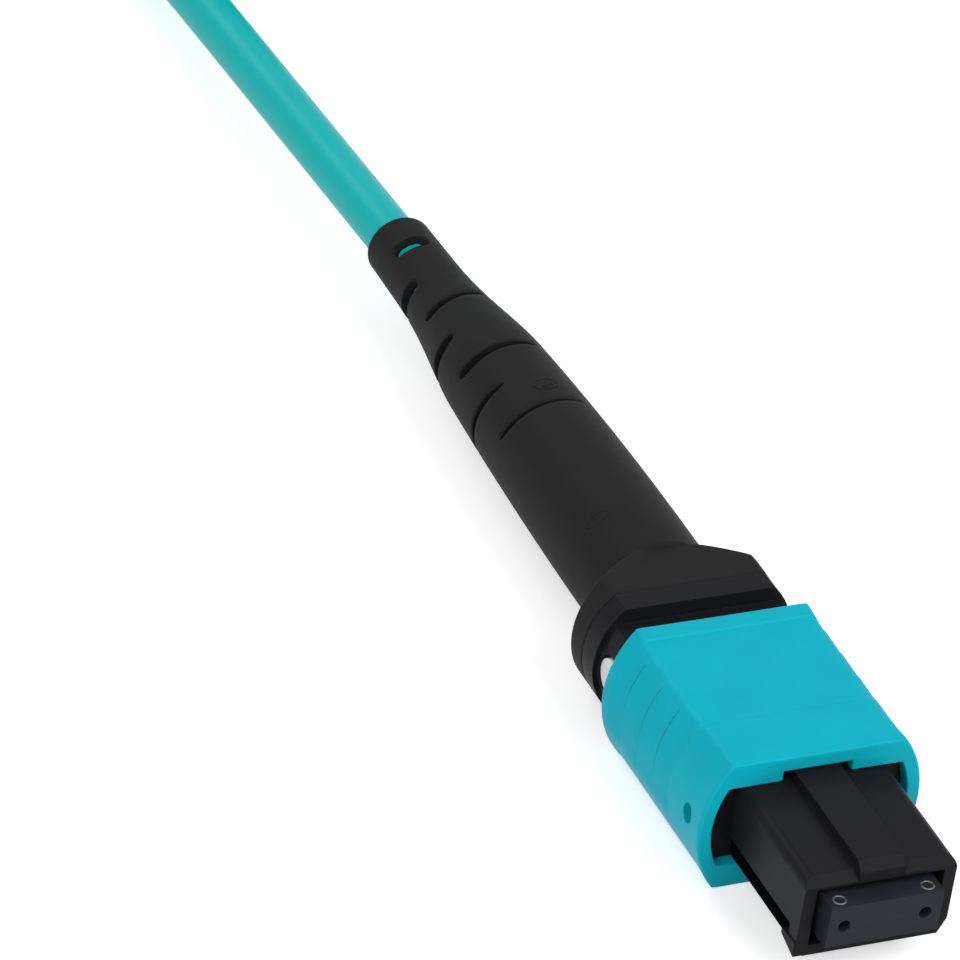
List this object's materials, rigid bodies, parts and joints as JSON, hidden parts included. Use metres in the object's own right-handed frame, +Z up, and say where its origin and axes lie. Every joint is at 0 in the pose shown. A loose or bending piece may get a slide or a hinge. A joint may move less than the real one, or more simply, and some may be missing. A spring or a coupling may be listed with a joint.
{
  "type": "mpo fibre connector",
  "caption": "Push-pull multi-fibre ribbon connector with a keyed nose, sprung ferrule, sliding coupling sleeve and slotted strain relief boot on a round fibre cord",
  "frame": {"origin": "centre of the bottom of the box around the first plug, on the surface that its coupling sleeve lies on", "axes": "+Y runs from the ferrule face back along the plug towards its cord, +Z is up and the key is on top, +X is to the right seen from behind the mating face"},
  "size_m": [0.0263, 0.2188, 0.0128],
  "materials": {
    "sleeve_aqua": "fine satin moulding",
    "housing_black": "satin moulding",
    "boot_black": "matt fine grain",
    "ferrule_black": "smooth glass-filled moulding",
    "dot_white": "matt print",
    "epoxy_dark": "cured resin",
    "boot_rubber": "matt",
    "ribbon_aqua": "coated fibres",
    "spring_steel": "drawn wire",
    "yarn_yellow": "twisted yarn",
    "crimp_metal": "pressed",
    "jacket_aqua": "smooth jacket",
    "tie_black": "woven strap"
  },
  "bodies": {
    "plug": {"inner_housing": "housing_black", "polarity_dot": "dot_white", "rear_body": "housing_black", "aramid_yarn": "yarn_yellow", "crimp_ring": "crimp_metal", "strain_relief_boot": "boot_black", "main_spring": "spring_steel", "sleeve_spring_right": "spring_steel", "sleeve_spring_left": "spring_steel", "fibre_ribbon": "ribbon_aqua", "cord_lead": "jacket_aqua", "cord_hank": "jacket_aqua", "cord_tie": "tie_black", "cord_far_lead": "jacket_aqua", "far_inner_housing": "housing_black", "far_polarity_dot": "dot_white", "far_strain_relief_boot": "boot_black"},
    "sleeve": {"coupling_sleeve": "sleeve_aqua"},
    "ferrule": {"mt_ferrule": "ferrule_black", "window_epoxy": "epoxy_dark", "ferrule_rubber": "boot_rubber", "pin_spacer": "housing_black"},
    "far_sleeve": {"far_coupling_sleeve": "sleeve_aqua"},
    "far_ferrule": {"far_mt_ferrule": "ferrule_black"}
  },
  "joints": [
    {"name": "sleeve_slide", "type": "slide", "parent": "plug", "child": "sleeve", "axis": [0, 1, 0], "range_m": [0, 0.0017], "stiffness_N_per_m": 600, "springref_m": -0.003, "deforming": ["sleeve_spring_right", "sleeve_spring_left"]},
    {"name": "ferrule_slide", "type": "slide", "parent": "plug", "child": "ferrule", "axis": [0, 1, 0], "range_m": [0, 0.0008], "stiffness_N_per_m": 1500, "springref_m": -0.004, "deforming": ["main_spring", "fibre_ribbon"]},
    {"name": "far_sleeve_slide", "type": "slide", "parent": "plug", "child": "far_sleeve", "axis": [0, -1, 0], "range_m": [0, 0.0017], "stiffness_N_per_m": 600, "springref_m": -0.003},
    {"name": "far_ferrule_slide", "type": "slide", "parent": "plug", "child": "far_ferrule", "axis": [0, -1, 0], "range_m": [0, 0.0008], "stiffness_N_per_m": 1500, "springref_m": -0.004}
  ]
}
